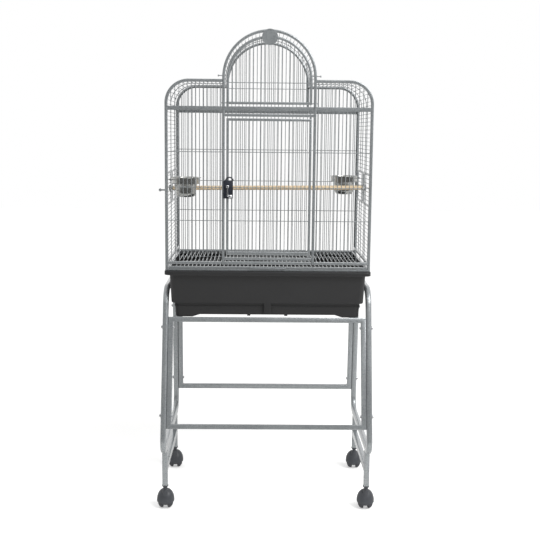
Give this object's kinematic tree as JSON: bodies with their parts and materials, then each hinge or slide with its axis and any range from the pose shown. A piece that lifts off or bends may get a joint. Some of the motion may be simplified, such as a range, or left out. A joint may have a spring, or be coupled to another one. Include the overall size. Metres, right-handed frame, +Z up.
{
  "type": "bird cage",
  "caption": "Domed wire bird cage on a wheeled stand, with a tall door, an arch door, swing-out bowl hatches, a pull-out floor grille and a deep seed basin.",
  "frame": {"origin": "on the floor, in the middle of the bounding box's footprint", "axes": "+Z up, the doors face -Y, +X to the right of someone who faces the doors"},
  "size_m": [0.8876, 0.6812, 1.9138],
  "materials": {
    "steel": "silver-grey hammertone powder coat",
    "plastic": "matt charcoal moulded plastic",
    "wood": "bare sanded dowel",
    "lock_paint": "dark satin paint",
    "chrome": "bright plated steel",
    "stainless": "spun stainless steel",
    "castor": "dark grey moulded nylon",
    "tread": "dark smooth tread"
  },
  "bodies": {
    "cage": {"front_hoop": "steel", "front_sill": "steel", "front_header": "steel", "rear_centre_panel": "steel", "front_left_panel": "steel", "front_right_panel": "steel", "rear_left_panel": "steel", "rear_right_panel": "steel", "left_wall_lower": "steel", "right_wall_lower": "steel", "left_feeder_frame": "steel", "right_feeder_frame": "steel", "left_upper_panel": "steel", "right_upper_panel": "steel", "vault": "steel", "base_frame": "steel", "stand_front_frame": "steel", "stand_rear_frame": "steel", "left_hoop": "steel", "right_hoop": "steel", "left_foot": "steel", "right_foot": "steel", "basin": "plastic", "perch": "wood", "perch_bolt_left": "chrome", "perch_bolt_right": "chrome", "front_left_upper_bolt": "chrome", "front_left_lower_bolt": "chrome", "rear_left_upper_bolt": "chrome", "rear_left_lower_bolt": "chrome", "front_right_upper_bolt": "chrome", "front_right_lower_bolt": "chrome", "rear_right_upper_bolt": "chrome", "rear_right_lower_bolt": "chrome"},
    "main_door": {"main_door": "steel", "lock_plate": "lock_paint"},
    "lock_lever": {"lock_lever": "chrome"},
    "arch_door": {"arch_door": "steel", "arch_disc": "steel"},
    "arch_latch_pin_left": {"arch_latch_pin_left": "chrome"},
    "arch_latch_pin_right": {"arch_latch_pin_right": "chrome"},
    "floor_grille": {"floor_grille": "steel"},
    "front_left_caster_hood": {"front_left_caster_hood": "castor"},
    "front_left_wheels": {"front_left_wheels": "tread"},
    "front_left_feeder_door": {"front_left_feeder_door": "steel", "front_left_bowl_ring": "steel"},
    "front_left_bowl": {"front_left_bowl": "stainless"},
    "rear_left_caster_hood": {"rear_left_caster_hood": "castor"},
    "rear_left_wheels": {"rear_left_wheels": "tread"},
    "front_right_caster_hood": {"front_right_caster_hood": "castor"},
    "front_right_wheels": {"front_right_wheels": "tread"},
    "rear_right_caster_hood": {"rear_right_caster_hood": "castor"},
    "rear_right_wheels": {"rear_right_wheels": "tread"},
    "rear_right_feeder_door": {"rear_right_feeder_door": "steel", "rear_right_bowl_ring": "steel"},
    "rear_right_bowl": {"rear_right_bowl": "stainless"}
  },
  "joints": [
    {"name": "main_door_swing", "type": "hinge", "parent": "cage", "child": "main_door", "pos_m": [0.1612, -0.21694, 1.3], "axis": [0, 0, 1], "range_deg": [0, 110]},
    {"name": "lock_lever_turn", "type": "hinge", "parent": "main_door", "child": "lock_lever", "pos_m": [-0.1602, -0.21694, 1.309], "axis": [0, -1, 0], "range_deg": [0, 90]},
    {"name": "arch_door_drop", "type": "hinge", "parent": "cage", "child": "arch_door", "pos_m": [0, -0.21694, 1.632], "axis": [1, 0, 0], "range_deg": [0, 110]},
    {"name": "arch_latch_left_pull", "type": "slide", "parent": "cage", "child": "arch_latch_pin_left", "axis": [-1, 0, 0], "range_m": [0, 0.01]},
    {"name": "arch_latch_right_pull", "type": "slide", "parent": "cage", "child": "arch_latch_pin_right", "axis": [1, 0, 0], "range_m": [0, 0.01]},
    {"name": "floor_grille_pull", "type": "slide", "parent": "cage", "child": "floor_grille", "axis": [0, -1, 0], "range_m": [0, 0.45]},
    {"name": "front_left_feeder_swing", "type": "hinge", "parent": "cage", "child": "front_left_feeder_door", "pos_m": [-0.4048, 0.03456, 1.2955], "axis": [0, 0, -1], "range_deg": [0, 90]},
    {"name": "front_left_bowl_lift", "type": "slide", "parent": "front_left_feeder_door", "child": "front_left_bowl", "axis": [0, 0, 1], "range_m": [0, 0.06]},
    {"name": "front_left_caster_swivel", "type": "hinge", "parent": "cage", "child": "front_left_caster_hood", "pos_m": [-0.4083, -0.25344, 0.09], "axis": [0, 0, 1], "continuous": true},
    {"name": "front_left_wheel_spin", "type": "hinge", "parent": "front_left_caster_hood", "child": "front_left_wheels", "pos_m": [-0.4083, -0.23544, 0.031], "axis": [1, 0, 0], "continuous": true},
    {"name": "rear_left_caster_swivel", "type": "hinge", "parent": "cage", "child": "rear_left_caster_hood", "pos_m": [-0.4083, 0.22856, 0.09], "axis": [0, 0, 1], "continuous": true},
    {"name": "rear_left_wheel_spin", "type": "hinge", "parent": "rear_left_caster_hood", "child": "rear_left_wheels", "pos_m": [-0.4083, 0.24656, 0.031], "axis": [1, 0, 0], "continuous": true},
    {"name": "front_right_caster_swivel", "type": "hinge", "parent": "cage", "child": "front_right_caster_hood", "pos_m": [0.4083, -0.25344, 0.09], "axis": [0, 0, 1], "continuous": true},
    {"name": "front_right_wheel_spin", "type": "hinge", "parent": "front_right_caster_hood", "child": "front_right_wheels", "pos_m": [0.4083, -0.23544, 0.031], "axis": [1, 0, 0], "continuous": true},
    {"name": "rear_right_feeder_swing", "type": "hinge", "parent": "cage", "child": "rear_right_feeder_door", "pos_m": [0.4048, 0.06656, 1.2955], "axis": [0, 0, -1], "range_deg": [0, 90]},
    {"name": "rear_right_bowl_lift", "type": "slide", "parent": "rear_right_feeder_door", "child": "rear_right_bowl", "axis": [0, 0, 1], "range_m": [0, 0.06]},
    {"name": "rear_right_caster_swivel", "type": "hinge", "parent": "cage", "child": "rear_right_caster_hood", "pos_m": [0.4083, 0.22856, 0.09], "axis": [0, 0, 1], "continuous": true},
    {"name": "rear_right_wheel_spin", "type": "hinge", "parent": "rear_right_caster_hood", "child": "rear_right_wheels", "pos_m": [0.4083, 0.24656, 0.031], "axis": [1, 0, 0], "continuous": true}
  ]
}
